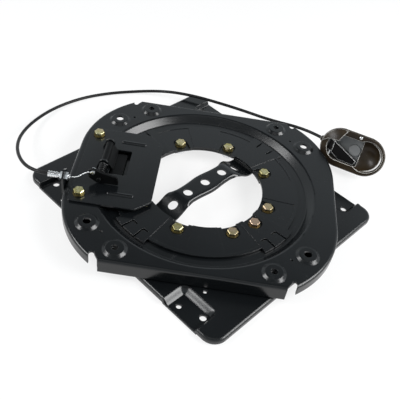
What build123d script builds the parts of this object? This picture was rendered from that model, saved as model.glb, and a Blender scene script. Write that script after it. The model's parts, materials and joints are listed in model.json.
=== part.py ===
"""A swivel base for a camper seat.

A pressed turntable plate turns on a pressed base plate. A ring bolted to the base holds
the turntable's inner flange down, and a lock worked by a cable and a pull handle stops it.
Millimetres, Z up. The origin is on the swivel axis at the floor.
"""
import os
from math import atan2, cos, degrees, pi, radians, sin, tan

from build123d import *

os.makedirs("parts", exist_ok=True)

# Sheet and running clearances
base_sheet = 3.0
ring_sheet = 3.0
plate_sheet = 3.0
lock_sheet = 3.0
liner_sheet = 0.9
run_gap = 0.06
bolt_clearance = 0.4
pin_clearance = 0.05
blade_gap = 0.4
bend = 4.0

# Base plate, turned about the swivel axis from the turntable
base_turn = -39.5
base_length = 380.0
base_width = 344.0
base_corner = 20.0
base_height = 10.0
base_rim = 8.0
pad_left = 104.0
pad_right = 157.0
pad_start = 138.0
pad_corner = 7.0
pad_draft = 24.0
base_bolt_square = 300.0
base_bolt_hole = 9.0
pad_hole = 7.0
pad_hole_u = 118.5
pad_hole_v = 161.0
gauge_hole = 5.0
gauge_u = 127.0
gauge_v = 124.5
plateau_foot = 152.0
plateau_edge = 142.0
plateau_rise = 9.8
hub_edge = 108.0
hub_rise = 1.2
opening_radius = 88.0

# Retainer ring
ring_inner = 84.0
ring_outer = 135.5
tab_outer = 143.5
tab_span = 22.5
sector_outer = 131.0
sector_drop = 0.8
seat_circle = 96.5
seat_radius = 11.0
slot_start = 126.0
slot_width = 2.6
slot_spread = 4.6
cross_cut = 8.0

# Fasteners
m8 = 8.0
m8_flats = 13.0
m8_head = 5.3
m8_nut = 6.5
m8_washer = 17.0
m8_washer_thick = 1.6
bolt_tail = 1.5

# Centre strap
strap_rise = 15.0
strap_flat = 50.0
strap_slope = 30.0
strap_width = 31.6
strap_foot_width = 38.0
strap_reach = 102.0
strap_lip = 7.0
strap_lip_thick = 2.4
strap_hole = 13.5
strap_hole_step = 34.5
strap_slope_hole = 62.5

# Turntable plate
dish_depth = 9.7
dish_top = 158.5
dish_bottom = 148.5
flange_inner = 112.0
plate_width = 380.0
plate_depth = 344.0
plate_corner = 145.0
side_straight = 100.0
side_drop = 15.5
tab_width = 237.0
tab_clearance = 2.0
notch_width = 7.0
notch_gap = 9.3
notch_offset = tab_width / 2 + notch_gap
notch_start = 158.5
gauge_pin_hole = 4.0
gauge_pin = 124.0
boss_height = 3.5
boss_base = 17.5
boss_flat = 12.0
boss_soft = 1.6
seat_wide_x = 290.0
seat_wide_y = 225.0
seat_wide_hole = 11.0
seat_long_x = 202.0
seat_long_y = 300.0
seat_long_hole = 9.0
weld_nut_flats = 14.0

# Lock plate and latch
lock_left = -180.0
lock_bend = -90.0
lock_right = -69.0
lock_dip = 1.4
lock_half = 80.0
lock_nose_half = 60.0
lock_corner = 4.0
bead_y = 56.0
bead_left = -131.0
bead_right = -94.0
bead_width = 6.0
bead_height = 1.5
window_left = -137.0
window_right = -112.0
window_back = 37.0
window_front = -17.0
lock_bolt_x = -167.0
lock_bolt_y = 64.5
pivot_x = -145.0
pivot_height = 9.5
pin_diameter = 6.0
pin_half = 44.0
ear_sheet = 2.5
ear_back = 38.5
ear_front = -8.0
ear_radius = 7.0
ear_foot = 12.0
hub_radius = 5.4
pawl_front = -6.0
pawl_back = 36.0
pawl_sheet = 3.0
carrier_left = -135.5
carrier_right = -118.0
carrier_front = -14.0
carrier_back = 32.0
blade_y = 10.0
blade_thick = 2.4
blade_left = -135.0
blade_right = -126.5
arm_y = -39.0
arm_sheet = 3.0
nipple_x = -153.0
nipple_z = 10.6
nipple_diameter = 6.0
nipple_length = 9.0
spring_wire = 1.8
spring_turns = 5
spring_front = -33.0
spring_back = -13.0

# Cable end on the turntable
cable_y = -45.0
cable_lift = 12.0
bracket_sheet = 3.0
bracket_half = 11.0
bracket_low = 22.0
bracket_over = 11.5
adjuster_diameter = 6.0
adjuster_in = 7.0
adjuster_out = 6.5
adjuster_nut_flats = 10.0
adjuster_nut = 4.0
ferrule_diameter = 8.4
ferrule_length = 14.0
ferrule_neck = 7.2
wire_diameter = 1.6
cable_diameter = 5.0

# Pull handle, upright and leaning back, carried by its cable above the base's corners
handle_x = 216.5
handle_y = 99.5
handle_lift = 0.6
handle_azimuth = -20.0
handle_length = 102.5
handle_width = 63.0
handle_rim = 3.5
handle_inset = 7.5
handle_depth = 24.0
rim_round = 1.5
handle_wall = 3.0
pocket_depth = 18.0
pocket_end = 39.25
pocket_right = handle_length / 2 - pocket_end
scoop_end = 29.25
scoop_a = handle_length / 2 - scoop_end
scoop_radius = 25.0
scoop_depth = 16.0
hood_radius = 30.0
hood_height = 9.0
hood_wall = 2.4
insert_sheet = 2.5
insert_gap = 0.3
knob_a = 2.0
knob_b = 1.0
knob_radius = 9.0
knob_height = 3.5
paddle_front = -1.5
paddle_sheet = 5.0
paddle_end = 17.25
paddle_hub_a = paddle_end - handle_length / 2
paddle_hub = 4.2
paddle_pin = 3.0
paddle_pin_half = 17.0
paddle_hub_half = 9.0
handle_screw_a = 5.0
handle_screw_b = 26.5
handle_screw = 5.0
gland_diameter = 9.0
gland_length = 14.0
gland_swing = 26.0
gland_depth = 13.0

# Heights that follow from the stack
plateau_top = base_height + plateau_rise
hub_top = plateau_top + hub_rise
hub_low = hub_top - base_sheet
flange_low = plateau_top + liner_sheet + run_gap
flange_top = flange_low + plate_sheet
ring_low = flange_top + run_gap + liner_sheet
ring_top = ring_low + ring_sheet
seat_top = hub_top + ring_sheet
plate_top = flange_top + dish_depth
boss_top = plate_top + boss_height
tab_drop = plate_top - base_height - tab_clearance
lock_top = plate_top + lock_sheet
pivot_z = lock_top + pivot_height
strap_top = hub_low + strap_rise
blade_low = ring_top + blade_gap
cable_z = plate_top + cable_lift
miter = plate_sheet * tan(radians(22.5))
base_axes = Plane(
    origin=(0, 0, 0),
    x_dir=(cos(radians(base_turn)), sin(radians(base_turn)), 0),
    z_dir=(0, 0, 1),
)


def finish(piece, name):
    """Name a piece and write it out."""
    piece.label = name
    export_step(piece, f"parts/{name}.step")


def corners(x, y):
    """Four points at plus and minus x and y."""
    return [(x, y), (-x, y), (-x, -y), (x, -y)]


def turned(radius, angle):
    """A point at a radius and an angle about the swivel axis."""
    return (radius * cos(radians(angle)), radius * sin(radians(angle)))


def hex_bolts(points, seat, tail):
    """Hex bolts with chamfered heads: head underside at seat, shank end at tail."""
    with BuildPart() as bolts:
        with BuildSketch(Plane.XY.offset(seat)):
            with Locations(*points):
                RegularPolygon(m8_flats / 2, 6, major_radius=False)
        extrude(amount=m8_head)
        with BuildSketch(Plane.XY.offset(seat)):
            with Locations(*points):
                Circle(m8 / 2)
        extrude(amount=tail - seat)
        rims = bolts.edges().filter_by(GeomType.LINE).group_by(Axis.Z)[-1]
        chamfer(rims, 0.7, 0.7)
    return bolts.part


def hex_nuts(points, low, high, flats, bore):
    """Hex nuts between two heights."""
    with BuildPart() as nuts:
        with BuildSketch(Plane.XY.offset(low)):
            with Locations(*points):
                RegularPolygon(flats / 2, 6, major_radius=False)
                Circle(bore / 2, mode=Mode.SUBTRACT)
        extrude(amount=high - low)
    return nuts.part


def washers(points, low):
    """Flat washers."""
    with BuildPart() as rings:
        with BuildSketch(Plane.XY.offset(low)):
            with Locations(*points):
                Circle(m8_washer / 2)
                Circle(m8 / 2 + bolt_clearance, mode=Mode.SUBTRACT)
        extrude(amount=m8_washer_thick)
    return rings.part


def pressed_form(inset, top, side, tab, soft):
    """The turntable's outer form: a rounded tray crossed by a straight front-to-back tray."""
    tray_width = plate_width - 2 * inset
    tray_depth = plate_depth - 2 * inset
    radius = plate_corner - inset
    with BuildPart() as form:
        with BuildSketch(Plane.XY.offset(top)):
            RectangleRounded(tray_width, side_straight + 2 * radius, radius)
            Rectangle(tray_width, tray_depth, mode=Mode.INTERSECT)
        extrude(amount=-side)
        fillet(form.edges().group_by(Axis.Z)[-1], soft)
        with BuildSketch(Plane.YZ) as across:
            with Locations((0, top - tab / 2)):
                Rectangle(tray_depth, tab)
            fillet(across.vertices().group_by(Axis.Y)[-1], soft)
        extrude(amount=tab_width / 2, both=True)
    return form.part


# Base plate: tray, recessed pads, drawn plateau
with BuildPart() as pad_blocks:
    for u_side in (1, -1):
        for v_side in (1, -1):
            pad_u = u_side * (pad_left + pad_right) / 2
            pad_v = v_side * (pad_start + base_width) / 2
            with BuildSketch(base_axes):
                with Locations((pad_u, pad_v)):
                    RectangleRounded(
                        pad_right - pad_left + 2 * base_sheet,
                        base_width - pad_start + 2 * base_sheet,
                        pad_corner + base_sheet,
                    )
            extrude(amount=base_height - base_sheet / 2, taper=-pad_draft)
    with BuildSketch(base_axes):
        RectangleRounded(base_length, base_width, base_corner)
    extrude(amount=base_height, mode=Mode.INTERSECT)

with BuildPart() as pad_pockets:
    for u_side in (1, -1):
        for v_side in (1, -1):
            pad_u = u_side * (pad_left + pad_right) / 2
            pad_v = v_side * (pad_start + base_width) / 2
            with BuildSketch(base_axes.offset(base_sheet)):
                with Locations((pad_u, pad_v)):
                    RectangleRounded(pad_right - pad_left, base_width - pad_start, pad_corner)
            extrude(amount=base_height, taper=-pad_draft)

with BuildPart() as base_hollow:
    with BuildSketch(base_axes.offset(base_height - base_sheet)):
        RectangleRounded(
            base_length - 2 * base_sheet, base_width - 2 * base_sheet, base_corner - base_sheet
        )
    extrude(amount=-base_height)
    fillet(base_hollow.edges().group_by(Axis.Z)[-1], bend - base_sheet)

with BuildPart() as base_plate:
    with BuildSketch(base_axes.offset(base_height)):
        RectangleRounded(base_length, base_width, base_corner)
    extrude(amount=-base_rim)
    fillet(base_plate.edges().group_by(Axis.Z)[-1], bend)
    add(base_hollow.part, mode=Mode.SUBTRACT)
    add(pad_blocks.part)
    add(pad_pockets.part, mode=Mode.SUBTRACT)
    with BuildSketch(Plane.XY.offset(base_height)):
        Circle(plateau_foot + bend)
    extrude(amount=-base_height, mode=Mode.SUBTRACT)
    with BuildSketch(Plane.XZ) as drawn:
        with BuildLine():
            Polyline(
                (plateau_foot + bend, base_height),
                (plateau_foot, base_height),
                (plateau_edge, plateau_top),
                (hub_edge + hub_rise, plateau_top),
                (hub_edge, hub_top),
                (opening_radius, hub_top),
                (opening_radius, hub_low),
                (hub_edge - miter, hub_low),
                (hub_edge + hub_rise - miter, plateau_top - base_sheet),
                (plateau_edge - miter, plateau_top - base_sheet),
                (plateau_foot - miter, base_height - base_sheet),
                (plateau_foot + bend, base_height - base_sheet),
                close=True,
            )
        make_face()
        fillet(drawn.vertices().sort_by_distance((plateau_edge, plateau_top))[0], bend)
        fillet(drawn.vertices().sort_by_distance((plateau_foot, base_height))[0], bend / 2)
    revolve(axis=Axis.Z)
    with BuildSketch(base_axes):
        with Locations(*corners(base_bolt_square / 2, base_bolt_square / 2)):
            Circle(base_bolt_hole / 2)
        with Locations(*corners(pad_hole_u, pad_hole_v)):
            Circle(pad_hole / 2)
        with Locations(*corners(gauge_u, gauge_v)):
            Circle(gauge_hole / 2)
        with PolarLocations(seat_circle, 8, start_angle=tab_span):
            Circle(m8 / 2 + bolt_clearance)
        with Locations((seat_circle, 0)):
            Circle(m8 / 2 + bolt_clearance)
    extrude(amount=hub_top, mode=Mode.SUBTRACT)
finish(base_plate.part, "base_plate")

# Retainer ring: lock tabs, bolt sectors, U-shaped bolt seats, radial slots
seat_angles = [tab_span + 2 * tab_span * step for step in range(8)] + [0.0]
seat_spots = [Location((*turned(seat_circle, turn), 0), (0, 0, turn)) for turn in seat_angles]
seat_form = seat_radius + ring_sheet * 0.8
seat_run = seat_circle - ring_inner + seat_radius / 3


def wedges(count, first):
    """Long wedges about the axis, each as wide as a lock tab."""
    with PolarLocations(0, count, start_angle=first):
        Polygon(
            (0, 0),
            turned(2 * tab_outer, -tab_span / 2),
            turned(2 * tab_outer, tab_span / 2),
            align=None,
        )


def seats(radius, mode):
    """U-shaped bolt seats open to the ring's inner edge."""
    with Locations(*seat_spots):
        Circle(radius, mode=mode)
        Rectangle(seat_run, 2 * radius, align=(Align.MAX, Align.CENTER), mode=mode)


def lock_slots():
    """Pairs of radial slots through the lock tabs, two pairs with cross cuts."""
    for side in (1, -1):
        with PolarLocations(slot_start * 1.25, 4, start_angle=side * slot_spread):
            Rectangle(slot_start / 2, slot_width, mode=Mode.SUBTRACT)
        cut_turn = degrees(cross_cut / 2 / slot_start)
        with PolarLocations(slot_start, 1, start_angle=side * slot_spread - cut_turn):
            Rectangle(slot_width, cross_cut, mode=Mode.SUBTRACT)
        with PolarLocations(slot_start, 1, start_angle=side * slot_spread + cut_turn - 90):
            Rectangle(slot_width, cross_cut, mode=Mode.SUBTRACT)


with BuildSketch() as ring_blank:
    wedges(4, 0)
    Circle(tab_outer, mode=Mode.INTERSECT)
    Circle(ring_outer)
    Circle(ring_inner, mode=Mode.SUBTRACT)
    seats(seat_radius, Mode.SUBTRACT)
    lock_slots()
with BuildSketch() as ring_sectors:
    wedges(8, tab_span)
    Circle(sector_outer, mode=Mode.INTERSECT)
with BuildPart() as retainer_ring:
    with BuildSketch(base_axes.offset(hub_top)):
        seats(seat_form, Mode.ADD)
        Circle(ring_inner, mode=Mode.SUBTRACT)
        with Locations(*seat_spots):
            Circle(m8 / 2 + bolt_clearance, mode=Mode.SUBTRACT)
    extrude(amount=seat_top - hub_top)
    with BuildSketch(base_axes.offset(seat_top)):
        seats(seat_form, Mode.ADD)
        Circle(ring_inner, mode=Mode.SUBTRACT)
        seats(seat_radius, Mode.SUBTRACT)
    extrude(amount=ring_low - seat_top)
    with BuildSketch(base_axes.offset(ring_low)):
        add(ring_blank.sketch)
    extrude(amount=ring_sheet - sector_drop)
    with BuildSketch(base_axes.offset(ring_top - sector_drop)):
        add(ring_blank.sketch)
        add(ring_sectors.sketch, mode=Mode.SUBTRACT)
    extrude(amount=sector_drop)
finish(retainer_ring.part, "retainer_ring")

# Ring fasteners: eight at even steps and a ninth at the long end of the base
ring_points = [turned(seat_circle, base_turn + turn) for turn in seat_angles]
nut_low = hub_low - m8_nut
finish(hex_bolts(ring_points, seat_top + m8_washer_thick, nut_low - bolt_tail), "ring_bolts")
finish(washers(ring_points, seat_top), "ring_washers")
finish(hex_nuts(ring_points, nut_low, hub_low, m8_flats, m8 + run_gap), "ring_nuts")

# Slide liners above and below the turntable's inner flange
with BuildPart() as lower_slide_liner:
    with BuildSketch(Plane.XY.offset(plateau_top)):
        Circle(plateau_edge - bend)
        Circle(flange_inner + 1.0, mode=Mode.SUBTRACT)
    extrude(amount=liner_sheet)
finish(lower_slide_liner.part, "lower_slide_liner")

with BuildPart() as upper_slide_liner:
    with BuildSketch(Plane.XY.offset(ring_low - liner_sheet)):
        Circle(ring_outer - 1.5)
        Circle(flange_inner + 1.0, mode=Mode.SUBTRACT)
    extrude(amount=liner_sheet)
finish(upper_slide_liner.part, "upper_slide_liner")

# Centre strap: arched bar with lips, its feet welded under the hub
strap_axes = Plane(origin=(0, 0, 0), x_dir=base_axes.y_dir, z_dir=base_axes.x_dir)
strap_foot = strap_flat + strap_rise / tan(radians(strap_slope))
strap_miter = base_sheet * tan(radians(strap_slope / 2))
with BuildPart() as center_strap:
    with BuildSketch(strap_axes):
        with BuildLine():
            Polyline(
                (-strap_reach, hub_low),
                (-strap_foot, hub_low),
                (-strap_flat, strap_top),
                (strap_flat, strap_top),
                (strap_foot, hub_low),
                (strap_reach, hub_low),
                (strap_reach, hub_low - base_sheet),
                (strap_foot - strap_miter, hub_low - base_sheet),
                (strap_flat - strap_miter, strap_top - base_sheet),
                (-strap_flat + strap_miter, strap_top - base_sheet),
                (-strap_foot + strap_miter, hub_low - base_sheet),
                (-strap_reach, hub_low - base_sheet),
                close=True,
            )
        make_face()
    extrude(amount=strap_foot_width / 2, both=True)
    with BuildSketch(base_axes) as strap_plan:
        with BuildLine():
            Polyline(
                (-strap_foot_width / 2, -strap_reach),
                (strap_foot_width / 2, -strap_reach),
                (strap_foot_width / 2, -strap_foot),
                (strap_width / 2, -strap_flat),
                (strap_width / 2, strap_flat),
                (strap_foot_width / 2, strap_foot),
                (strap_foot_width / 2, strap_reach),
                (-strap_foot_width / 2, strap_reach),
                (-strap_foot_width / 2, strap_foot),
                (-strap_width / 2, strap_flat),
                (-strap_width / 2, -strap_flat),
                (-strap_foot_width / 2, -strap_foot),
                close=True,
            )
        make_face()
        fillet(strap_plan.vertices(), bend)
    extrude(amount=2 * strap_top, mode=Mode.INTERSECT)
    lip_length = 2 * strap_flat - 2 * bend
    for side in (1, -1):
        lip_plane = strap_axes.offset(side * (strap_width - strap_lip_thick) / 2)
        with BuildSketch(lip_plane):
            with BuildLine():
                Polyline(
                    (-lip_length / 2, strap_top - base_sheet / 2),
                    (lip_length / 2, strap_top - base_sheet / 2),
                    (lip_length / 2 - strap_lip, strap_top - strap_lip),
                    (-lip_length / 2 + strap_lip, strap_top - strap_lip),
                    close=True,
                )
            make_face()
        extrude(amount=strap_lip_thick / 2, both=True)
    with BuildSketch(base_axes):
        with Locations((0, 0), (0, strap_hole_step), (0, -strap_hole_step)):
            Circle(strap_hole / 2)
        with Locations((0, strap_slope_hole), (0, -strap_slope_hole)):
            Circle(strap_hole / 2)
    extrude(amount=2 * strap_top, mode=Mode.SUBTRACT)
finish(center_strap.part, "center_strap")

# Turntable plate: pressed form, drawn dish, bosses, notches and holes
turntable_hollow = pressed_form(
    plate_sheet,
    plate_top - plate_sheet,
    side_drop,
    tab_drop,
    bend - plate_sheet,
)
with BuildPart() as boss:
    with BuildSketch(Plane.XZ) as boss_half:
        with BuildLine():
            Polyline(
                (0, boss_height),
                (boss_flat, boss_height),
                (boss_base, -plate_sheet * 0.4),
                (0, -plate_sheet * 0.4),
                close=True,
            )
        make_face()
        fillet(boss_half.vertices().sort_by_distance((boss_flat, boss_height))[0], boss_soft)
    revolve(axis=Axis.Z)
with BuildPart() as boss_hollow:
    Cone(
        boss_base - 1.0,
        boss_flat - 1.0,
        boss_height + plate_sheet * 0.4,
        align=(Align.CENTER, Align.CENTER, Align.MAX),
    )
wide_points = corners(seat_wide_x / 2, seat_wide_y / 2)
long_points = corners(seat_long_x / 2, seat_long_y / 2)
notch_root = notch_start + notch_width / 2
notch_outline = [
    (tab_width / 2, plate_depth / 2 - plate_sheet / 2),
    (notch_offset - notch_width / 2, notch_root),
    (notch_offset + notch_width / 2, notch_root),
    (notch_offset + notch_width / 2, plate_depth),
    (tab_width / 2, plate_depth),
]
with BuildPart() as turntable_plate:
    add(pressed_form(0, plate_top, side_drop, tab_drop, bend))
    add(turntable_hollow, mode=Mode.SUBTRACT)
    with BuildSketch(Plane.XY.offset(plate_top)):
        Circle(dish_top + bend)
    extrude(amount=-tab_drop, mode=Mode.SUBTRACT)
    with BuildSketch(Plane.XZ) as dish:
        with BuildLine():
            Polyline(
                (dish_top + bend, plate_top),
                (dish_top, plate_top),
                (dish_bottom, flange_top),
                (flange_inner, flange_top),
                (flange_inner, flange_low),
                (dish_bottom + miter, flange_low),
                (dish_top + miter, plate_top - plate_sheet),
                (dish_top + bend, plate_top - plate_sheet),
                close=True,
            )
        make_face()
        fillet(dish.vertices().sort_by_distance((dish_top, plate_top))[0], bend)
        fillet(dish.vertices().sort_by_distance((dish_bottom, flange_top))[0], bend / 2)
    revolve(axis=Axis.Z)
    with Locations(*[(x, y, plate_top) for x, y in wide_points + long_points]):
        add(boss.part)
    with Locations(*[(x, y, boss_top - plate_sheet) for x, y in wide_points + long_points]):
        add(boss_hollow.part, mode=Mode.SUBTRACT)
    with BuildSketch(Plane.XY.offset(-boss_top)):
        with Locations(*wide_points):
            Circle(seat_wide_hole / 2)
        with Locations(*long_points):
            Circle(seat_long_hole / 2)
        with Locations(*corners(gauge_pin, gauge_pin)):
            Circle(gauge_pin_hole / 2)
        with Locations((lock_bolt_x, lock_bolt_y), (lock_bolt_x, -lock_bolt_y)):
            Circle(m8 / 2 + bolt_clearance)
        with Locations(*corners(notch_offset, notch_root)):
            Circle(notch_width / 2)
        for x_side, y_side in corners(1, 1):
            notch_corner = [(x_side * x, y_side * y) for x, y in notch_outline]
            Polygon(*notch_corner[:: x_side * y_side], align=None)
    extrude(amount=3 * boss_top, mode=Mode.SUBTRACT)
finish(turntable_plate.part, "turntable_plate")

weld_nut_top = boss_top - plate_sheet
finish(
    hex_nuts(long_points, weld_nut_top - m8_nut, weld_nut_top, weld_nut_flats, m8),
    "seat_weld_nuts",
)

# Lock plate: bolted down on the left, its nose dipping over the ring, with two ears
with BuildPart() as lock_plate:
    with BuildSketch(Plane.XZ):
        with BuildLine():
            Polyline(
                (lock_left, plate_top),
                (lock_left, lock_top),
                (lock_bend, lock_top),
                (lock_right, lock_top - lock_dip),
                (lock_right, plate_top - lock_dip),
                (lock_bend, plate_top),
                close=True,
            )
        make_face()
    extrude(amount=lock_half, both=True)
    with BuildSketch(Plane.XY) as lock_plan:
        with BuildLine():
            Polyline(
                (lock_left, -lock_half),
                (lock_bend, -lock_half),
                (lock_right, -lock_nose_half),
                (lock_right, lock_nose_half),
                (lock_bend, lock_half),
                (lock_left, lock_half),
                close=True,
            )
        make_face()
        fillet(lock_plan.vertices(), lock_corner)
    extrude(amount=2 * lock_top, mode=Mode.INTERSECT)
    with BuildSketch(Plane.XY.offset(lock_top)):
        for side in (1, -1):
            with Locations(((bead_left + bead_right) / 2, side * bead_y)):
                SlotOverall(bead_right - bead_left, bead_width)
    extrude(amount=bead_height, taper=35)
    for ear_y in (ear_back, ear_front):
        with BuildSketch(Plane.XZ.offset(-ear_y)):
            with Locations((pivot_x, pivot_z)):
                Circle(ear_radius)
            with BuildLine():
                Polyline(
                    (pivot_x - ear_foot, lock_top - lock_sheet / 2),
                    (pivot_x + ear_foot / 2, lock_top - lock_sheet / 2),
                    (pivot_x + ear_radius, pivot_z),
                    (pivot_x - ear_radius, pivot_z),
                    close=True,
                )
            make_face()
        extrude(amount=ear_sheet / 2, both=True)
    with BuildSketch(Plane.XZ):
        with Locations((pivot_x, pivot_z)):
            Circle(pin_diameter / 2 + pin_clearance)
    extrude(amount=2 * lock_half, both=True, mode=Mode.SUBTRACT)
    with BuildSketch(Plane.XY):
        with Locations(((window_left + window_right) / 2, (window_back + window_front) / 2)):
            RectangleRounded(window_right - window_left, window_back - window_front, lock_corner / 2)
        with Locations((lock_bolt_x, lock_bolt_y), (lock_bolt_x, -lock_bolt_y)):
            Circle(m8 / 2 + bolt_clearance)
    extrude(amount=lock_top + lock_sheet / 2, mode=Mode.SUBTRACT)
finish(lock_plate.part, "lock_plate")

lock_points = [(lock_bolt_x, lock_bolt_y), (lock_bolt_x, -lock_bolt_y)]
lock_nut_top = plate_top - plate_sheet
finish(washers(lock_points, lock_top), "lock_plate_washers")
finish(
    hex_bolts(lock_points, lock_top + m8_washer_thick, lock_nut_top - m8_nut - bolt_tail),
    "lock_plate_bolts",
)
finish(
    hex_nuts(lock_points, lock_nut_top - m8_nut, lock_nut_top, m8_flats, m8 + run_gap),
    "lock_plate_nuts",
)

# Latch: pin, pawl with blades, release arm, nipple and return spring
with BuildPart() as latch_pin:
    with BuildSketch(Plane.XZ):
        with Locations((pivot_x, pivot_z)):
            Circle(pin_diameter / 2)
    extrude(amount=pin_half, both=True)
    chamfer(latch_pin.edges().filter_by(GeomType.CIRCLE), pin_diameter / 10)
finish(latch_pin.part, "latch_pin")

carrier_low = ring_top + 2.0
carrier_high = carrier_low + pawl_sheet
with BuildPart() as latch_pawl:
    with BuildSketch(Plane.XZ.offset(-pawl_back)):
        with Locations((pivot_x, pivot_z)):
            Circle(hub_radius)
        with BuildLine():
            Polyline(
                (pivot_x, pivot_z - hub_radius),
                (pivot_x + hub_radius, pivot_z),
                (carrier_left + pawl_sheet, carrier_high + pawl_sheet),
                (carrier_left + pawl_sheet, carrier_high - pawl_sheet / 2),
                (carrier_left, carrier_high - pawl_sheet / 2),
                (carrier_left, carrier_high + pawl_sheet),
                close=True,
            )
        make_face()
    extrude(amount=pawl_back - pawl_front)
    with BuildSketch(Plane.XY.offset(carrier_low)):
        with Locations(((carrier_left + carrier_right) / 2, (carrier_front + carrier_back) / 2)):
            RectangleRounded(carrier_right - carrier_left, carrier_back - carrier_front, lock_corner / 2)
    extrude(amount=pawl_sheet)
    with BuildSketch(Plane.XY.offset(blade_low)):
        for side in (1, -1):
            with Locations(((blade_left + blade_right) / 2, side * blade_y)):
                Rectangle(blade_right - blade_left, blade_thick)
    extrude(amount=carrier_low - blade_low + pawl_sheet / 2)
    with BuildSketch(Plane.XZ):
        with Locations((pivot_x, pivot_z)):
            Circle(pin_diameter / 2)
    extrude(amount=2 * lock_half, both=True, mode=Mode.SUBTRACT)
finish(latch_pawl.part, "latch_pawl")

arm_toe = lock_top + 1.8
nipple_height = lock_top + pivot_height + nipple_z
with BuildPart() as release_arm:
    with BuildSketch(Plane.XZ.offset(-arm_y)) as arm_outline:
        with BuildLine():
            Polyline(
                (pivot_x - 4.0, arm_toe),
                (pivot_x + 27.0, arm_toe),
                (pivot_x + 25.0, pivot_z + 5.0),
                (pivot_x + 3.0, nipple_height),
                (nipple_x, nipple_height + 5.0),
                (nipple_x - 7.0, nipple_height + 1.0),
                (nipple_x - 6.0, pivot_z),
                close=True,
            )
        make_face()
        fillet(arm_outline.vertices(), 2.5)
        with Locations((pivot_x, pivot_z)):
            Circle(pin_diameter / 2, mode=Mode.SUBTRACT)
        with Locations((nipple_x, nipple_height)):
            Circle(nipple_diameter / 2, mode=Mode.SUBTRACT)
    extrude(amount=arm_sheet / 2, both=True)
finish(release_arm.part, "release_arm")

with BuildPart() as wire_nipple:
    with BuildSketch(Plane.XZ.offset(-arm_y)):
        with Locations((nipple_x, nipple_height)):
            Circle(nipple_diameter / 2)
    extrude(amount=nipple_length / 2, both=True)
    chamfer(wire_nipple.edges().filter_by(GeomType.CIRCLE), nipple_diameter / 12)
finish(wire_nipple.part, "wire_nipple")

spring_radius = pin_diameter / 2 + spring_wire
spring_pitch = (spring_back - spring_front) / spring_turns
with BuildPart() as latch_spring:
    with BuildLine() as coil_path:
        coil = Helix(
            spring_pitch,
            spring_back - spring_front,
            spring_radius,
            center=(pivot_x, spring_front, pivot_z),
            direction=(0, 1, 0),
        )
    with BuildSketch(Plane(origin=coil @ 0, z_dir=coil % 0)):
        Circle(spring_wire / 2)
    sweep(path=coil, is_frenet=True)
    leg_down = pivot_z - lock_top - spring_wire / 2 - run_gap
    leg_span = spring_radius * 3.0
    with BuildSketch(Plane(origin=coil @ 0, z_dir=(leg_span, -spring_wire, -leg_down))):
        Circle(spring_wire / 2)
    extrude(amount=spring_radius * 1.5)
    with BuildSketch(Plane(origin=coil @ 1, z_dir=(leg_span, spring_wire, -leg_down))):
        Circle(spring_wire / 2)
    extrude(amount=spring_radius * 1.5)
finish(latch_spring.part, "latch_spring")

# Cable end: bracket, threaded adjuster with two nuts, ferrule and the bare wire
bracket_face = -plate_width / 2
bracket_out = bracket_face - bracket_sheet
with BuildPart() as cable_bracket:
    with BuildSketch(Plane.YZ.offset(bracket_out)) as bracket_outline:
        with BuildLine():
            Polyline(
                (cable_y - bracket_half, bracket_low),
                (cable_y + bracket_half, bracket_low),
                (cable_y + bracket_half, cable_z + bracket_over / 3),
                (cable_y, cable_z + bracket_over),
                (cable_y - bracket_half, cable_z + bracket_over / 3),
                close=True,
            )
        make_face()
        fillet(bracket_outline.vertices().group_by(Axis.Y)[-1], bend)
        with Locations((cable_y, cable_z)):
            Circle(adjuster_diameter / 2 + bolt_clearance, mode=Mode.SUBTRACT)
    extrude(amount=bracket_sheet)
finish(cable_bracket.part, "cable_bracket")

adjuster_start = bracket_face + adjuster_in
adjuster_end = bracket_out - adjuster_out
with BuildPart() as cable_adjuster:
    with BuildSketch(Plane.YZ.offset(adjuster_end)):
        with Locations((cable_y, cable_z)):
            Circle(adjuster_diameter / 2)
            Circle(wire_diameter / 2 + pin_clearance, mode=Mode.SUBTRACT)
    extrude(amount=adjuster_start - adjuster_end)
finish(cable_adjuster.part, "cable_adjuster")

with BuildPart() as adjuster_nuts:
    for face, step in ((bracket_face, adjuster_nut), (bracket_out, -adjuster_nut)):
        with BuildSketch(Plane.YZ.offset(face)):
            with Locations((cable_y, cable_z)):
                RegularPolygon(adjuster_nut_flats / 2, 6, major_radius=False)
                Circle(adjuster_diameter / 2, mode=Mode.SUBTRACT)
        extrude(amount=step)
finish(adjuster_nuts.part, "adjuster_nuts")

ferrule_end = adjuster_end - ferrule_length
ferrule_axis = Axis((0, cable_y, cable_z), (1, 0, 0))
rib = ferrule_length / 8
with BuildPart() as cable_ferrule:
    with BuildSketch(Plane(origin=(adjuster_end, cable_y, cable_z), x_dir=(-1, 0, 0), z_dir=(0, -1, 0))):
        with Locations((ferrule_length / 2, ferrule_neck / 4)):
            Rectangle(ferrule_length, ferrule_neck / 2)
        with Locations(*[(rib * (2 * step + 1.5), ferrule_diameter / 4) for step in range(4)]):
            Rectangle(rib, ferrule_diameter / 2)
        with Locations((ferrule_length / 2, wire_diameter / 8)):
            Rectangle(2 * ferrule_length, wire_diameter / 4, mode=Mode.SUBTRACT)
    revolve(axis=ferrule_axis)
finish(cable_ferrule.part, "cable_ferrule")

wire_y = arm_y - arm_sheet / 2 - wire_diameter
with BuildPart() as inner_wire:
    with BuildLine() as wire_path:
        FilletPolyline(
            (adjuster_start, cable_y, cable_z),
            (adjuster_start + 8.0, cable_y, cable_z),
            (nipple_x - 8.0, wire_y, nipple_height),
            (nipple_x - nipple_diameter / 2, wire_y, nipple_height),
            radius=6.0,
        )
    with BuildSketch(Plane(origin=wire_path.line @ 0, z_dir=wire_path.line % 0)):
        Circle(wire_diameter / 2)
    sweep(path=wire_path.line)
finish(inner_wire.part, "inner_wire")

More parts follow.
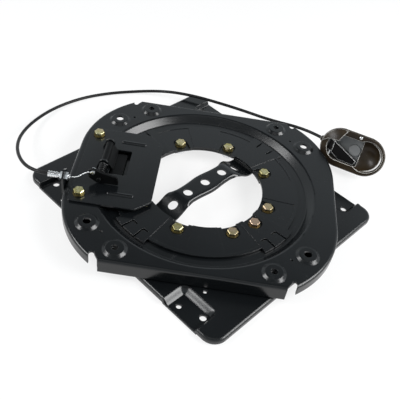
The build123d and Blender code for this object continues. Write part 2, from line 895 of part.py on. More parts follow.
# Pull handle: axes on its face, with rim and body level along their lower edges
handle_lean = atan2(handle_inset, handle_depth - handle_rim)
handle_turn = radians(handle_azimuth)
along = Vector(cos(handle_turn), sin(handle_turn), 0)
back = Vector(-sin(handle_turn), cos(handle_turn), 0)
rise = back * sin(handle_lean) + Vector(0, 0, 1) * cos(handle_lean)
floor_point = Vector(handle_x, handle_y, base_height + handle_lift + handle_rim * sin(handle_lean))
face = Plane(
    origin=floor_point + rise * (handle_width / 2),
    x_dir=along,
    z_dir=along.cross(rise),
)
body_length = handle_length - 2 * handle_inset
body_width = handle_width - 2 * handle_inset
pocket_length = body_length - 2 * handle_wall
pocket_width = body_width - 2 * handle_wall
end_center = -(handle_length - handle_width) / 2
scoop_sphere = (scoop_radius**2 + scoop_depth**2) / (2 * scoop_depth)
hood_sphere = (hood_radius**2 + hood_height**2) / (2 * hood_height)

with BuildPart() as hood:
    with Locations(face * Location((end_center, 0, hood_height - hood_sphere))):
        Sphere(hood_sphere)
        Sphere(hood_sphere - hood_wall, mode=Mode.SUBTRACT)
    with BuildSketch(face):
        with BuildLine():
            Polyline(
                (-handle_length / 2, handle_width * 0.03),
                (-handle_length * 0.38, handle_width * 0.17),
                (-handle_length * 0.24, handle_width * 0.19),
                (-handle_length * 0.20, handle_width * 0.34),
                (-handle_length * 0.15, handle_width / 2),
                (-handle_length / 2, handle_width / 2),
                close=True,
            )
        make_face()
    extrude(amount=2 * hood_height, mode=Mode.INTERSECT)

with BuildPart() as handle_housing:
    with BuildSketch(face):
        SlotOverall(handle_length, handle_width)
    extrude(amount=-handle_rim)
    fillet(handle_housing.faces().sort_by_distance(face.origin)[0].edges(), rim_round)
    with BuildSketch(face.offset(-handle_rim)):
        SlotOverall(body_length, body_width)
    extrude(amount=handle_rim - handle_depth)
    with BuildSketch(face):
        SlotOverall(pocket_length, pocket_width)
        with Locations((pocket_right - pocket_length, 0)):
            Rectangle(2 * pocket_length, pocket_width, mode=Mode.INTERSECT)
    extrude(amount=-pocket_depth, mode=Mode.SUBTRACT)
    with Locations(face * Location((scoop_a, 0, scoop_sphere - scoop_depth))):
        Sphere(scoop_sphere, mode=Mode.SUBTRACT)
    add(hood.part)
    with BuildSketch(Plane(face.origin, x_dir=face.x_dir, z_dir=face.y_dir)):
        with Locations((paddle_hub_a, -(paddle_front - paddle_sheet / 2))):
            Circle(paddle_pin / 2)
    extrude(amount=paddle_pin_half, both=True, mode=Mode.SUBTRACT)
finish(handle_housing.part, "handle_housing")

with BuildPart() as handle_insert:
    with BuildSketch(face.offset(-pocket_depth)):
        SlotOverall(pocket_length - 2 * insert_gap, pocket_width - 2 * insert_gap)
        with Locations((pocket_right - insert_gap - pocket_length, 0)):
            Rectangle(2 * pocket_length, pocket_width, mode=Mode.INTERSECT)
    extrude(amount=insert_sheet)
    with BuildSketch(face.offset(insert_sheet - pocket_depth)):
        with Locations((knob_a, knob_b)):
            Circle(knob_radius)
    extrude(amount=knob_height)
finish(handle_insert.part, "handle_insert")

paddle_plane = face.offset(paddle_front - paddle_sheet)
with BuildPart() as handle_paddle:
    with BuildSketch(paddle_plane) as flag:
        with BuildLine():
            Polyline(
                (paddle_hub_a, paddle_hub_half),
                (handle_length * 0.10, -handle_width * 0.19),
                (handle_length * 0.08, -handle_width * 0.31),
                (-handle_length * 0.16, -handle_width * 0.31),
                (paddle_hub_a, -paddle_hub_half),
                close=True,
            )
        make_face()
        fillet(flag.vertices().sort_by(Axis.X)[-3:], 2.0)
    extrude(amount=paddle_sheet)
    with BuildSketch(Plane(face.origin, x_dir=face.x_dir, z_dir=face.y_dir)):
        with Locations((paddle_hub_a, -(paddle_front - paddle_sheet / 2))):
            Circle(paddle_hub)
    extrude(amount=paddle_hub_half, both=True)
    with BuildSketch(Plane(face.origin, x_dir=face.x_dir, z_dir=face.y_dir)):
        with Locations((paddle_hub_a, -(paddle_front - paddle_sheet / 2))):
            Circle(paddle_pin / 2 + pin_clearance)
    extrude(amount=paddle_pin_half, both=True, mode=Mode.SUBTRACT)
finish(handle_paddle.part, "handle_paddle")

with BuildPart() as paddle_pin_piece:
    with BuildSketch(Plane(face.origin, x_dir=face.x_dir, z_dir=face.y_dir)):
        with Locations((paddle_hub_a, -(paddle_front - paddle_sheet / 2))):
            Circle(paddle_pin / 2)
    extrude(amount=paddle_pin_half, both=True)
finish(paddle_pin_piece.part, "handle_paddle_pin")

with BuildPart() as handle_screw_piece:
    with Locations(face * Location((handle_screw_a, handle_screw_b, 0))):
        Cylinder(handle_screw / 2, handle_screw / 3, align=(Align.CENTER, Align.CENTER, Align.MIN))
    chamfer(handle_screw_piece.edges().filter_by(GeomType.CIRCLE), handle_screw / 12)
finish(handle_screw_piece.part, "handle_screw")

gland_out = face.x_dir * -cos(radians(gland_swing)) - face.z_dir * sin(radians(gland_swing))
gland_root = face.from_local_coords(Vector(-body_length / 2 + handle_wall, 0, -gland_depth))
gland_tip = gland_root + gland_out * gland_length
with BuildPart() as handle_gland:
    with BuildSketch(Plane(origin=gland_root, z_dir=gland_out)):
        Circle(gland_diameter / 2)
    extrude(amount=gland_length)
    with BuildSketch(face):
        SlotOverall(body_length, body_width)
    extrude(amount=-handle_depth, mode=Mode.SUBTRACT)
finish(handle_gland.part, "handle_gland")

# Cable sheath: straight runs with tangent bends, from the ferrule round to the handle
cable_points = [
    (ferrule_end, cable_y, cable_z),
    (ferrule_end - 15.4, cable_y, cable_z),
    (-253.0, -31.0, 42.5),
    (-275.5, 8.0, 31.5),
    (-286.5, 55.0, 19.0),
    (-282.0, 105.0, 9.5),
    (-262.0, 155.0, 4.0),
    (-226.0, 195.5, 2.8),
    (-185.0, 221.0, 2.8),
    (-145.0, 235.5, 4.0),
    (-108.0, 240.0, 9.0),
    (-75.0, 235.0, 16.0),
    (-35.0, 229.0, 18.5),
    (6.0, 220.0, 18.5),
    (48.0, 207.5, 19.5),
    (92.0, 188.5, 22.5),
    tuple(gland_tip + gland_out * 34.0),
    tuple(gland_tip),
]
cable_bends = []
for before, here, after in zip(cable_points, cable_points[1:], cable_points[2:]):
    into = Vector(*here) - Vector(*before)
    out = Vector(*after) - Vector(*here)
    half_turn = radians(into.get_angle(out) / 2)
    cable_bends.append(0.45 * min(into.length, out.length) / tan(half_turn))
    print("cable bend", round(cable_bends[-1], 1), "runs", round(into.length, 1), round(out.length, 1))
with BuildPart() as cable_sheath:
    with BuildLine() as cable_path:
        cable_route = FilletPolyline(*cable_points, radius=cable_bends)
    with BuildSketch(Plane(origin=cable_path.line @ 0, z_dir=cable_path.line % 0)):
        Circle(cable_diameter / 2)
    sweep(path=cable_path.line)
cable_ideal = pi * cable_diameter**2 / 4 * cable_route.length
print("cable volume ratio", round(cable_sheath.part.volume / cable_ideal, 4))
print("cable length", round(cable_route.length, 1))
finish(cable_sheath.part, "cable_sheath")
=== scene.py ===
# %% [markdown]
# # Swivel seat base
# A pressed steel turntable on a pressed steel base, with a lock, a pull cable and a handle. The
# CAD frame already has every steel part at its true size, so most parts are kept and only get
# their finish here. Blender adds what a sheet-metal drawing leaves out: the springy cable, the
# stranded wire, the screw threads, the soft bends of the strap and the foot pads, the rolled beads
# and the recessed screw head.

import json
import math

import bmesh
import bpy
from mathutils import Matrix, Vector


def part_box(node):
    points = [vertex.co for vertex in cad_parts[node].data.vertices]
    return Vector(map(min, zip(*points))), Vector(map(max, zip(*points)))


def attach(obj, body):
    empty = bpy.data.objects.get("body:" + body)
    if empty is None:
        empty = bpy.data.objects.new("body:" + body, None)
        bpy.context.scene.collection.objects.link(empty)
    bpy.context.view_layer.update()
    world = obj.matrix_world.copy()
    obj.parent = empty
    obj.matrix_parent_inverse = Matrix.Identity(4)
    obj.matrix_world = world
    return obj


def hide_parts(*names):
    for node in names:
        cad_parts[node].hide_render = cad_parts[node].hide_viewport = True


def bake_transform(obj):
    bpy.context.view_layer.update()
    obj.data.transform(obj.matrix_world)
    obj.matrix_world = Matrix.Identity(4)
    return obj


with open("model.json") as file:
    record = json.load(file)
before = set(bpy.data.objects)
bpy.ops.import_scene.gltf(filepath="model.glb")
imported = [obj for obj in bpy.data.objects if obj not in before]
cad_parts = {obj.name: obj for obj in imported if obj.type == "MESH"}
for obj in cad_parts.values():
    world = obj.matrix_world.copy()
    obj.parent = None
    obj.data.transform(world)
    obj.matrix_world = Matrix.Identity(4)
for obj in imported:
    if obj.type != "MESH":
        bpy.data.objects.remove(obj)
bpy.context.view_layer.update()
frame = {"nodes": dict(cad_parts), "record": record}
scene = bpy.context.scene
MM = 0.001

# %% [markdown]
# ## A short way to write nodes
# A finish is a small sum of noises, and sums are easier to read as Python than as a picture of
# wires. This class wraps one output socket. Adding or multiplying two of them adds a Math node,
# and `make` adds any other node, in a material or in a Geometry Nodes tree.

# %% Socket wrapper
class Wire:
    """An output socket of a node tree, with arithmetic."""

    def __init__(self, tree, socket=None):
        self.tree = tree
        self.socket = socket

    def make(self, kind, inputs=(), output=0, **settings):
        """Add any node: settings are its properties, inputs its sockets by name or number."""
        node = self.tree.nodes.new(kind)
        for key, value in settings.items():
            setattr(node, key, value)
        for key, value in dict(inputs).items():
            if isinstance(value, Wire):
                self.tree.links.new(value.socket, node.inputs[key])
            else:
                node.inputs[key].default_value = value
        return Wire(self.tree, node.outputs[output] if node.outputs else None)

    def math(self, operation, first, second):
        return self.make("ShaderNodeMath", {0: first, 1: second}, operation=operation)

    def __add__(self, other):
        return self.math("ADD", self, other)

    def __radd__(self, other):
        return self.math("ADD", other, self)

    def __sub__(self, other):
        return self.math("SUBTRACT", self, other)

    def __rsub__(self, other):
        return self.math("SUBTRACT", other, self)

    def __mul__(self, other):
        return self.math("MULTIPLY", self, other)

    def __rmul__(self, other):
        return self.math("MULTIPLY", other, self)

    def clamp(self, low, high, to_low=0.0, to_high=1.0):
        """Map low..high to a new range and stop at its ends."""
        values = {"Value": self, "From Min": low, "From Max": high}
        values.update({"To Min": to_low, "To Max": to_high})
        return self.make("ShaderNodeMapRange", values)

    def noise(self, scale, detail=3.0, rough=0.55):
        values = {"Vector": self, "Scale": scale, "Detail": detail, "Roughness": rough}
        return self.make("ShaderNodeTexNoise", values)

    def blend(self, first, second):
        """A colour between two, by this factor."""
        values = {0: self, 6: first, 7: second}
        return self.make("ShaderNodeMix", values, output=2, data_type="RGBA")

    def rounded(self, radius):
        """The surface direction as if every sharp edge had this radius."""
        return self.make("ShaderNodeBevel", {"Radius": radius}, samples=4)

    def edges(self, soft):
        """One where the rounded direction leaves the flat one, nought on open faces."""
        flat = self.make("ShaderNodeNewGeometry", output=1)
        pair = {0: soft, 1: flat}
        agree = self.make("ShaderNodeVectorMath", pair, output=1, operation="DOT_PRODUCT")
        return (1.0 - agree).clamp(0.02, 0.20)

    def bump(self, height, distance, strength, soft):
        values = {"Height": height, "Distance": distance, "Strength": strength, "Normal": soft}
        return self.make("ShaderNodeBump", values)


print("wire methods", [name for name in vars(Wire) if not name.startswith("_")])


# %% Material and object helpers
def shade(*rgb):
    return (*rgb, 1.0)


def material(name, build, **constants):
    """A Principled material: constants sit on its sockets, build links what varies."""
    made = bpy.data.materials.new(name)
    made.use_nodes = True
    tree = made.node_tree
    shader = tree.nodes["Principled BSDF"]
    for key, value in constants.items():
        shader.inputs[key.replace("_", " ")].default_value = value
    place = Wire(tree).make("ShaderNodeTexCoord", output=3)
    for key, wire in build(place).items():
        tree.links.new(wire.socket, shader.inputs[key])
    return made


def put(name, data):
    """A new object in the scene, at the origin."""
    made = bpy.data.objects.new(name, data)
    scene.collection.objects.link(made)
    return made


finishes = {}
print("helpers", [helper.__name__ for helper in (shade, material, put)])

# %% [markdown]
# ## Black paint
# The pressings are dipped and baked, which leaves a thin satin black with a fine orange peel. A
# flat black would lose every bend, so the sheen does the work: roughness drifts slowly over each
# panel. Sheet edges are sharp in the CAD. A Bevel node rounds them in the shading only, which
# catches the light along each rim, and the same node finds the edges that are painted paler:
# partly paint rubbed thin, partly a painted highlight along each rim. The more a sheet was drawn
# or folded, the softer its edges, so the radius differs.

# %% Paint
cut_edge = 0.7 * MM
folded_edge = 1.3 * MM
drawn_edge = 2.0 * MM


def paint_nodes(place, radius=cut_edge):
    cloud = place.noise(9.0, 4.0)
    peel = place.noise(420.0, 2.0)
    grit = place.noise(2600.0, 1.0)
    scuff = place.noise(60.0, 6.0, 0.7).clamp(0.62, 0.74)
    soft = place.rounded(radius)
    rim = place.edges(place.rounded(cut_edge))
    # painted highlight and wear: edges paler in colour, partly paint rubbed thin, partly the glint
    # along each rim
    worn_and_glint = rim * place.noise(140.0, 4.0).clamp(0.42, 0.62)
    deep, pale = shade(0.0040, 0.0048, 0.0056), shade(0.0062, 0.0074, 0.0084)
    body = cloud.clamp(0.3, 0.7).blend(deep, pale)
    dusty = (scuff * 0.30).blend(body, shade(0.022, 0.023, 0.024))
    return {
        "Base Color": (worn_and_glint * 0.5).blend(dusty, shade(0.075, 0.076, 0.078)),
        "Roughness": 0.17 + cloud * 0.07 + scuff * 0.10 + grit * 0.03,
        "Normal": place.bump(peel + grit * 0.35, 0.06 * MM, 0.35, soft),
    }


def folded_nodes(place):
    return paint_nodes(place, folded_edge)


def drawn_nodes(place):
    return paint_nodes(place, drawn_edge)


finishes["black_paint"] = material("black_paint", paint_nodes)
folded_paint = material("black_paint_folded", folded_nodes)
drawn_paint = material("black_paint_drawn", drawn_nodes)
print("paint nodes", len(finishes["black_paint"].node_tree.nodes))

# %% [markdown]
# ## Blackened lock
# The pawl, its arm and its pin are blackened and oiled, not painted, so they look deeper and duller
# than the plates. The same sum as for the paint would do, but with less sheen and a darker body.

# %% Lock finish
def lock_nodes(place):
    cloud = place.noise(30.0, 4.0)
    soft = place.rounded(0.6 * MM)
    # painted highlight and wear: edges paler in colour, partly rubbed, partly the glint along each
    # rim
    worn_and_glint = place.edges(soft) * place.noise(160.0, 4.0).clamp(0.40, 0.62)
    deep, pale = shade(0.0022, 0.0024, 0.0026), shade(0.0042, 0.0045, 0.0048)
    body = cloud.clamp(0.3, 0.7).blend(deep, pale)
    return {
        "Base Color": (worn_and_glint * 0.6).blend(body, shade(0.075, 0.076, 0.078)),
        "Roughness": 0.34 + cloud * 0.12,
        "Normal": place.bump(place.noise(800.0, 2.0), 0.05 * MM, 0.4, soft),
    }


lock_black = material("lock_black", lock_nodes, Specular_IOR_Level=0.15)
print("lock nodes", len(lock_black.node_tree.nodes))

# %% [markdown]
# ## Plated steel
# The bolts are zinc plated and passivated yellow. That film is thinner than light's own waves in
# places, so gold turns to straw and to rose from bolt to bolt. The washers have the same film, gone
# dark. The cable's fittings are bright zinc, and the torsion spring is plain oiled wire. All are
# metals, so only their tint, their roughness and a fine tooling bump vary.

# %% Yellow zinc and washers
def yellow_nodes(place):
    film = place.noise(160.0, 2.0)
    blush = place.noise(19.0, 0.0) + film * 0.25
    soft = place.rounded(0.4 * MM)
    gold = film.clamp(0.35, 0.65).blend(shade(0.62, 0.54, 0.22), shade(0.80, 0.76, 0.46))
    return {
        "Base Color": blush.clamp(0.68, 0.92).blend(gold, shade(0.78, 0.55, 0.40)),
        "Roughness": 0.20 + film * 0.14,
        "Normal": place.bump(place.noise(900.0, 3.0), 0.05 * MM, 0.5, soft),
    }


def washer_nodes(place):
    film = place.noise(120.0, 3.0)
    soft = place.rounded(0.4 * MM)
    dark, straw = shade(0.050, 0.044, 0.028), shade(0.16, 0.13, 0.06)
    return {
        "Base Color": film.clamp(0.35, 0.65).blend(dark, straw),
        "Roughness": 0.30 + film * 0.2,
        "Normal": place.bump(place.noise(900.0, 3.0), 0.05 * MM, 0.5, soft),
    }


finishes["yellow_zinc"] = material("yellow_zinc", yellow_nodes, Metallic=1.0)
washer_zinc = material("washer_zinc", washer_nodes, Metallic=1.0)
print("bolt nodes", len(finishes["yellow_zinc"].node_tree.nodes))

# %% Bright zinc and spring wire
def zinc_nodes(place):
    film = place.noise(210.0, 3.0)
    soft = place.rounded(0.3 * MM)
    dull, bright = shade(0.72, 0.73, 0.74), shade(0.90, 0.91, 0.92)
    return {
        "Base Color": film.clamp(0.3, 0.7).blend(dull, bright),
        "Roughness": 0.18 + film * 0.18,
        "Normal": place.bump(place.noise(1200.0, 3.0), 0.04 * MM, 0.5, soft),
    }


def spring_nodes(place):
    film = place.noise(300.0, 3.0)
    soft = place.rounded(0.2 * MM)
    oiled, bare = shade(0.030, 0.030, 0.032), shade(0.070, 0.070, 0.070)
    return {
        "Base Color": film.clamp(0.3, 0.7).blend(oiled, bare),
        "Roughness": 0.34 + film * 0.2,
        "Normal": place.bump(place.noise(1500.0, 2.0), 0.03 * MM, 0.5, soft),
    }


finishes["bright_zinc"] = material("bright_zinc", zinc_nodes, Metallic=1.0)
finishes["spring_steel"] = material("spring_steel", spring_nodes, Metallic=1.0)
print("metals", [name for name in finishes if name != "black_paint"])

# %% [markdown]
# ## Plastics
# Five plastics: the dull slide liners, the cable's extruded jacket, the dark brown handle, its
# black paddle and its grey inner tray. The thin edges of handle and paddle catch the light as pale
# lines, and these are painted highlights: a near-white colour laid along the edges. One could
# model those edges as chamfers, but the edge mask that finds the paint's paler edges finds them
# too. The tray has a pale disc painted where a raised knob's lit top would be, told by its
# distance from one spot.

# %% Liner and jacket
def slide_nodes(place):
    cloud = place.noise(60.0, 3.0)
    soft = place.rounded(0.3 * MM)
    return {
        "Base Color": cloud.blend(shade(0.03, 0.03, 0.03), shade(0.06, 0.06, 0.058)),
        "Roughness": 0.5 + cloud * 0.15,
        "Normal": place.bump(place.noise(900.0, 2.0), 0.04 * MM, 0.5, soft),
    }


def jacket_nodes(place):
    cloud = place.noise(45.0, 3.0)
    grain = place.noise(1700.0, 2.0)
    soft = place.rounded(0.2 * MM)
    return {
        "Base Color": cloud.blend(shade(0.004, 0.004, 0.0045), shade(0.008, 0.008, 0.0085)),
        "Roughness": 0.36 + cloud * 0.16,
        "Normal": place.bump(grain, 0.05 * MM, 0.6, soft),
    }


finishes["slide_plastic"] = material("slide_plastic", slide_nodes)
finishes["cable_jacket"] = material("cable_jacket", jacket_nodes, Specular_IOR_Level=0.3)
print("jacket nodes", len(finishes["cable_jacket"].node_tree.nodes))

# %% Handle, paddle and tray
# edge radius for the rounded shading and for the painted edge highlight
glint_edge = 1.8 * MM
# painted light: a pale disc where a raised knob's lit top would be; no knob is modelled
lit_knob_spot = (0.2219, 0.1092, 0.0420)
lit_knob_inner, lit_knob_outer = 9.2 * MM, 9.8 * MM


def handle_nodes(place):
    cloud = place.noise(38.0, 4.0)
    grain = place.noise(1900.0, 2.0)
    soft = place.rounded(glint_edge)
    # painted highlight: near-white along the edges for the light they catch
    painted_glint = place.edges(soft).clamp(0.0, 0.4)
    deep, pale = shade(0.011, 0.006, 0.003), shade(0.036, 0.024, 0.011)
    brown = cloud.clamp(0.3, 0.7).blend(deep, pale)
    return {
        "Base Color": painted_glint.blend(brown, shade(0.90, 0.88, 0.83)),
        "Roughness": 0.26 + cloud * 0.14 + grain * 0.04,
        "Normal": place.bump(grain, 0.03 * MM, 0.3, soft),
    }


def paddle_nodes(place):
    cloud = place.noise(50.0, 4.0)
    soft = place.rounded(glint_edge)
    # painted highlight: near-white along the edges for the light they catch
    painted_glint = place.edges(soft).clamp(0.0, 0.4)
    black = cloud.blend(shade(0.003, 0.003, 0.003), shade(0.007, 0.006, 0.006))
    return {
        "Base Color": painted_glint.blend(black, shade(0.90, 0.90, 0.88)),
        "Roughness": 0.30 + cloud * 0.10,
        "Normal": place.bump(place.noise(1500.0, 2.0), 0.03 * MM, 0.4, soft),
    }


def tray_nodes(place):
    cloud = place.noise(70.0, 3.0)
    soft = place.rounded(0.4 * MM)
    spots = {0: place, 1: lit_knob_spot}
    far = place.make("ShaderNodeVectorMath", spots, output=1, operation="DISTANCE")
    grey = cloud.blend(shade(0.16, 0.165, 0.165), shade(0.28, 0.28, 0.28))
    # painted light: the lit top of a knob, as a pale flat colour
    knob_light = shade(0.72, 0.73, 0.73)
    return {
        "Base Color": far.clamp(lit_knob_inner, lit_knob_outer).blend(knob_light, grey),
        "Roughness": 0.34 + cloud * 0.15,
        "Normal": place.bump(place.noise(1600.0, 2.0), 0.05 * MM, 0.5, soft),
    }


finishes["handle_plastic"] = material(
    "handle_plastic",
    handle_nodes,
    Specular_IOR_Level=0.28,
    Coat_Weight=0.05,
    Coat_Roughness=0.12,
)
paddle_black = material("paddle_black", paddle_nodes, Specular_IOR_Level=0.12)
finishes["insert_plastic"] = material("insert_plastic", tray_nodes)
print("finishes", sorted(finishes))

# %% [markdown]
# ## Finishes on the CAD nodes
# The record says which finish each part has, and a few parts get a closer kin of it: softer edges
# on drawn and folded sheet, the lock's black, dark washers. The meshes stay as they are and only
# their material slot is filled.

# %% Assign the finishes
slot_of = {entry["node"]: entry["material_slot"] for entry in frame["record"]["subparts"]}
closer_kin = {
    "base_plate": drawn_paint,
    "turntable_plate": folded_paint,
    "lock_plate": folded_paint,
    "latch_pawl": lock_black,
    "release_arm": lock_black,
    "latch_pin": lock_black,
    "ring_washers": washer_zinc,
    "lock_plate_washers": washer_zinc,
    "handle_paddle": paddle_black,
    "seat_weld_nuts": lock_black,
}
for name, slot_name in slot_of.items():
    node = frame["nodes"][name]
    node.data.materials.clear()
    node.data.materials.append(closer_kin.get(name, finishes[slot_name]))
print("nodes finished", len(slot_of))

# %% [markdown]
# ## Camera
# The photograph looks down at 44 degrees with the horizon tipped by nine. The camera is placed
# by its three axes, so that the tip needs no Euler angles.

# %% Camera
camera_data = bpy.data.cameras.new("camera")
camera_data.lens = 54.45
camera_data.sensor_width = 36.0
camera_data.clip_start = 0.05
camera = put("camera", camera_data)
camera_spot = (-0.0139, -0.6430, 0.6146)
azimuth, elevation, tip = map(math.radians, (-0.955, 43.9, 9.375))
level = math.cos(elevation)
backward = Vector((math.sin(azimuth) * level, -math.cos(azimuth) * level, math.sin(elevation)))
flat_right = Vector((math.cos(azimuth), math.sin(azimuth), 0))
flat_up = backward.cross(flat_right)
rightward = math.cos(tip) * flat_right + math.sin(tip) * flat_up
upward = math.cos(tip) * flat_up - math.sin(tip) * flat_right
turn = Matrix((rightward, upward, backward)).transposed().to_4x4()
camera.matrix_world = Matrix.Translation(camera_spot) @ turn
scene.camera = camera
print("camera at", [round(x, 3) for x in camera.matrix_world.translation])

# %% [markdown]
# ## Cable
# The pull cable is a stiff jacketed cable that springs out of its ferrule, lies on the floor
# behind the plates and rises to the handle. A polyline would show its corners, and a Bezier curve
# needs two handles a point, so it is one NURBS line through the points that the CAD tube turns
# at, with a round bevel.

# %% Cable route
cable_points = [
    (-213.5, -45.0, 45.46),
    (-228.9, -45.0, 45.46),
    (-253.0, -31.0, 42.5),
    (-275.5, 8.0, 31.5),
    (-286.5, 55.0, 19.0),
    (-282.0, 105.0, 9.5),
    (-262.0, 155.0, 4.0),
    (-226.0, 195.5, 2.8),
    (-185.0, 221.0, 2.8),
    (-145.0, 235.5, 4.0),
    (-108.0, 240.0, 9.0),
    (-75.0, 235.0, 16.0),
    (-35.0, 229.0, 18.5),
    (6.0, 220.0, 18.5),
    (48.0, 207.5, 19.5),
    (92.0, 188.5, 22.5),
    (152.30, 168.40, 29.69),
    (176.23, 144.80, 34.81),
]
print("cable points", len(cable_points))

# %% Cable
cable_diameter = 5.0 * MM
cable_data = bpy.data.curves.new("cable", "CURVE")
cable_data.dimensions = "3D"
cable_data.bevel_depth = cable_diameter / 2
cable_data.bevel_resolution = 5
cable_data.resolution_u = 12
cable_data.use_fill_caps = True
spline = cable_data.splines.new("NURBS")
spline.points.add(len(cable_points) - 1)
for point, (x, y, z) in zip(spline.points, cable_points):
    point.co = (x * MM, y * MM, z * MM, 1.0)
spline.order_u = 3
spline.use_endpoint_u = True
cable_data.materials.append(finishes["cable_jacket"])
cable = put("cable", cable_data)
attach(cable, "turntable")
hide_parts("cable_sheath")
print("cable diameter", cable_diameter, "order", spline.order_u)

# %% [markdown]
# ## Threads
# Screw threads repeat one ridge along a helix, which is what Geometry Nodes are good at. One tree
# draws the helix, sweeps a small diamond along it and puts a copy on every vertex of the object
# that carries it. Each use gives the tree its own radius, pitch and number of turns. The result
# is turned into a plain mesh, because an export keeps meshes and drops instances.

# %% Geometry Nodes helpers
def start_tree(name, sizes):
    """A Geometry Nodes tree with named inputs: the tree, its inputs as wires, its output node."""
    tree = bpy.data.node_groups.new(name, "GeometryNodeTree")
    tree.interface.new_socket("Geometry", in_out="OUTPUT", socket_type="NodeSocketGeometry")
    tree.interface.new_socket("Geometry", in_out="INPUT", socket_type="NodeSocketGeometry")
    for label, kind in sizes.items():
        tree.interface.new_socket(label, in_out="INPUT", socket_type=kind)
    source = tree.nodes.new("NodeGroupInput")
    given = {socket.name: Wire(tree, socket) for socket in source.outputs if socket.name}
    return tree, given, tree.nodes.new("NodeGroupOutput")


def settled(carrier):
    """The mesh of an object as its modifiers leave it, as a plain mesh."""
    bpy.context.view_layer.update()
    shown = carrier.evaluated_get(bpy.context.evaluated_depsgraph_get())
    return bpy.data.meshes.new_from_object(shown)


def grow(name, tree, vertices, edges, **values):
    """Run a tree on bare vertices and keep the result as a plain mesh at the origin."""
    seed = bpy.data.meshes.new(name + "_seed")
    seed.from_pydata([Vector(v) * MM for v in vertices], edges, [])
    carrier = put(name, seed)
    modifier = carrier.modifiers.new("grow", "NODES")
    modifier.node_group = tree
    for item in tree.interface.items_tree:
        if item.in_out == "INPUT" and item.name in values:
            modifier[item.identifier] = values[item.name]
    grown = settled(carrier)
    carrier.modifiers.remove(modifier)
    carrier.data = grown
    print(name, "faces", len(grown.polygons))
    return carrier


print("tree helpers", [helper.__name__ for helper in (start_tree, settled, grow)])

# %% Thread tree
thread_sizes = {
    "Radius": "NodeSocketFloat",
    "Pitch": "NodeSocketFloat",
    "Turns": "NodeSocketFloat",
    "Ridge": "NodeSocketFloat",
    "Lean": "NodeSocketFloat",
    "Finish": "NodeSocketMaterial",
}
thread, size, thread_out = start_tree("screw_thread", thread_sizes)
here = Wire(thread)
helix = here.make(
    "GeometryNodeCurveSpiral",
    {
        "Resolution": 28,
        "Rotations": size["Turns"],
        "Start Radius": size["Radius"],
        "End Radius": size["Radius"],
        "Height": size["Turns"] * size["Pitch"],
    },
)
diamond = here.make("GeometryNodeCurvePrimitiveCircle", {"Resolution": 4, "Radius": size["Ridge"]})
ridge = here.make(
    "GeometryNodeCurveToMesh",
    {"Curve": helix, "Profile Curve": diamond, "Fill Caps": True},
)
lean = here.make("ShaderNodeCombineXYZ", {"Y": size["Lean"]})
copies = here.make(
    "GeometryNodeInstanceOnPoints",
    {"Points": size["Geometry"], "Instance": ridge, "Rotation": lean},
)
whole = here.make("GeometryNodeRealizeInstances", {"Geometry": copies})
sharp = here.make("GeometryNodeSetShadeSmooth", {"Geometry": whole, "Shade Smooth": False})
coated = here.make("GeometryNodeSetMaterial", {"Geometry": sharp, "Material": size["Finish"]})
thread.links.new(coated.socket, thread_out.inputs["Geometry"])
print("thread tree nodes", len(thread.nodes))

# %% Where the threads start
base_turn = -39.5
seat_circle, ring_bolt_end = 96.5, 10.1
seat_turns = [22.5 + 45.0 * step for step in range(8)] + [0.0]
ring_ends = []
for seat_turn in seat_turns:
    angle = math.radians(base_turn + seat_turn)
    spot = (seat_circle * math.cos(angle), seat_circle * math.sin(angle), ring_bolt_end)
    ring_ends.append(spot)
lock_bolt_x, lock_bolt_y = -167.0, 64.5
lock_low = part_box("lock_plate_bolts")[0].z / MM
lock_ends = [(lock_bolt_x, side * lock_bolt_y, lock_low + 0.1) for side in (1, -1)]
nut_x, nut_y = 101.0, 150.0
nut_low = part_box("seat_weld_nuts")[0].z / MM
nut_ends = [(nut_x * u, nut_y * v, nut_low + 0.2) for u in (1, -1) for v in (1, -1)]
adjuster_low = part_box("cable_adjuster")[0].x / MM
adjuster_end = [(adjuster_low + 0.2, *cable_points[0][1:])]
print("threads", len(ring_ends + lock_ends + nut_ends + adjuster_end))

# %% Threads on bolts, nuts and adjuster
m8_pitch, m6_pitch = 1.25, 1.0
m8_bolt = {"Radius": 3.95 * MM, "Pitch": m8_pitch * MM, "Ridge": 0.30 * MM}
m8_nut = {"Radius": 4.05 * MM, "Pitch": m8_pitch * MM, "Ridge": 0.38 * MM}
m6_bolt = {"Radius": 2.95 * MM, "Pitch": m6_pitch * MM, "Ridge": 0.30 * MM}
upright, lying = 0.0, math.pi / 2
bolt_turns, nut_turns, adjuster_turns = 1.05, 4.8, 16.0


def cut_threads(name, ends, form, turns, lean_angle, body, slot_name):
    """One mesh with a thread at every end, riding on a body."""
    finish = finishes[slot_name]
    piece = grow(name, thread, ends, [], Turns=turns, Lean=lean_angle, Finish=finish, **form)
    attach(piece, body)


for name, ends, form, turns, lean_angle, body, slot_name in (
    ("ring_bolt_threads", ring_ends, m8_bolt, bolt_turns, upright, "base", "yellow_zinc"),
    ("lock_bolt_threads", lock_ends, m8_bolt, bolt_turns, upright, "turntable", "yellow_zinc"),
    ("seat_nut_threads", nut_ends, m8_nut, nut_turns, upright, "turntable", "spring_steel"),
    ("adjuster_threads", adjuster_end, m6_bolt, adjuster_turns, lying, "turntable", "bright_zinc"),
):
    cut_threads(name, ends, form, turns, lean_angle, body, slot_name)
